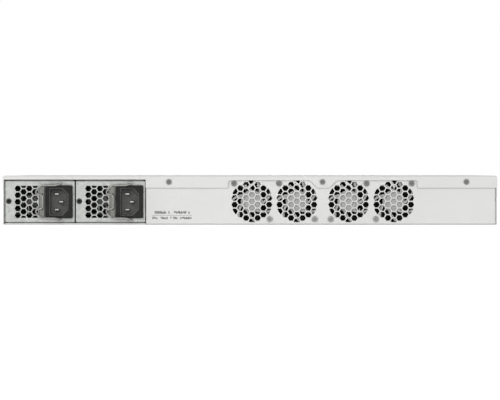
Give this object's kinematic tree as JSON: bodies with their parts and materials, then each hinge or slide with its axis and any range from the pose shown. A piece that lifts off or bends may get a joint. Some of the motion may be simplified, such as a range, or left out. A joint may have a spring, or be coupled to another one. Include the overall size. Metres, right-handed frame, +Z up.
{
  "type": "rackmount network switch",
  "caption": "Flat rackmount network switch with plug-in power supplies, spinning rear fans behind honeycomb grilles and stacked front ports.",
  "frame": {"origin": "centre of the overall box's footprint, on the underside", "axes": "+Z up, -Y out of the port side, +Y out of the fan and power supply side, +X to the right when facing the port side"},
  "size_m": [0.443, 0.3042, 0.044],
  "materials": {
    "white_paint": "satin off-white powder coat, fine texture",
    "plated_steel": "zinc-plated sheet with faint spangle",
    "bright_wire": "bright drawn wire",
    "screw_steel": "nickel-plated screw steel",
    "black_plastic": "fine-grained black moulding",
    "grey_plastic": "mid grey moulding",
    "board_green": "solder-masked circuit board",
    "aluminium": "extruded, satin",
    "ferrite": "tape-wound ferrite"
  },
  "bodies": {
    "chassis": {"base_tray": "white_paint", "cover_screw_1": "screw_steel", "cover_screw_2": "screw_steel", "cover_screw_3": "screw_steel", "cpu_heatsink": "aluminium", "fan_1_frame": "grey_plastic", "fan_1_lower_screw": "screw_steel", "fan_1_upper_screw": "screw_steel", "fan_2_frame": "grey_plastic", "fan_2_lower_screw": "screw_steel", "fan_2_upper_screw": "screw_steel", "fan_3_frame": "grey_plastic", "fan_3_lower_screw": "screw_steel", "fan_3_upper_screw": "screw_steel", "fan_4_frame": "grey_plastic", "fan_4_lower_screw": "screw_steel", "fan_4_upper_screw": "screw_steel", "front_panel": "white_paint", "main_board": "board_green", "management_jack": "black_plastic", "power_backplane": "black_plastic", "psu_cage": "plated_steel", "qsfp_cage": "plated_steel", "rear_panel": "white_paint", "rj45_block_1": "black_plastic", "rj45_block_2": "black_plastic", "sfp_cage": "plated_steel", "switch_heatsink": "aluminium", "top_cover": "white_paint"},
    "rotor_1": {"fan_1_rotor": "black_plastic"},
    "rotor_2": {"fan_2_rotor": "black_plastic"},
    "rotor_3": {"fan_3_rotor": "black_plastic"},
    "rotor_4": {"fan_4_rotor": "black_plastic"},
    "bail_1": {"psu_1_bail": "bright_wire"},
    "supply_1": {"psu_1_board": "board_green", "psu_1_capacitor": "black_plastic", "psu_1_case": "plated_steel", "psu_1_choke": "ferrite", "psu_1_heatsink": "aluminium", "psu_1_inlet": "black_plastic", "psu_1_lid": "plated_steel", "psu_1_lock_screw": "screw_steel", "psu_1_transformer": "ferrite"},
    "latch_1": {"psu_1_latch": "plated_steel"},
    "bail_2": {"psu_2_bail": "bright_wire"},
    "supply_2": {"psu_2_board": "board_green", "psu_2_capacitor": "black_plastic", "psu_2_case": "plated_steel", "psu_2_choke": "ferrite", "psu_2_heatsink": "aluminium", "psu_2_inlet": "black_plastic", "psu_2_lid": "plated_steel", "psu_2_lock_screw": "screw_steel", "psu_2_transformer": "ferrite"},
    "latch_2": {"psu_2_latch": "plated_steel"},
    "reset": {"reset_button": "black_plastic"}
  },
  "joints": [
    {"name": "fan_1_spin", "type": "hinge", "parent": "chassis", "child": "rotor_1", "pos_m": [-0.0017, 0.1315, 0.021], "axis": [0, 1, 0], "continuous": true},
    {"name": "fan_2_spin", "type": "hinge", "parent": "chassis", "child": "rotor_2", "pos_m": [-0.042, 0.1315, 0.021], "axis": [0, 1, 0], "continuous": true},
    {"name": "fan_3_spin", "type": "hinge", "parent": "chassis", "child": "rotor_3", "pos_m": [-0.0884, 0.1315, 0.021], "axis": [0, 1, 0], "continuous": true},
    {"name": "fan_4_spin", "type": "hinge", "parent": "chassis", "child": "rotor_4", "pos_m": [-0.1288, 0.1315, 0.021], "axis": [0, 1, 0], "continuous": true},
    {"name": "supply_1_slide", "type": "slide", "parent": "chassis", "child": "supply_1", "axis": [0, 1, 0], "range_m": [0, 0.21]},
    {"name": "bail_1_swing", "type": "hinge", "parent": "supply_1", "child": "bail_1", "pos_m": [0.1701, 0.1503, 0.0206], "axis": [0, 0, 1], "range_deg": [0, 90]},
    {"name": "latch_1_press", "type": "slide", "parent": "supply_1", "child": "latch_1", "axis": [0, -1, 0], "range_m": [0, 0.002], "stiffness_N_per_m": 400, "springref_m": -0.0005},
    {"name": "supply_2_slide", "type": "slide", "parent": "chassis", "child": "supply_2", "axis": [0, 1, 0], "range_m": [0, 0.21]},
    {"name": "bail_2_swing", "type": "hinge", "parent": "supply_2", "child": "bail_2", "pos_m": [0.1069, 0.1503, 0.0206], "axis": [0, 0, 1], "range_deg": [0, 90]},
    {"name": "latch_2_press", "type": "slide", "parent": "supply_2", "child": "latch_2", "axis": [0, -1, 0], "range_m": [0, 0.002], "stiffness_N_per_m": 400, "springref_m": -0.0005},
    {"name": "reset_press", "type": "slide", "parent": "chassis", "child": "reset", "axis": [0, 1, 0], "range_m": [0, 0.0008], "stiffness_N_per_m": 300}
  ]
}
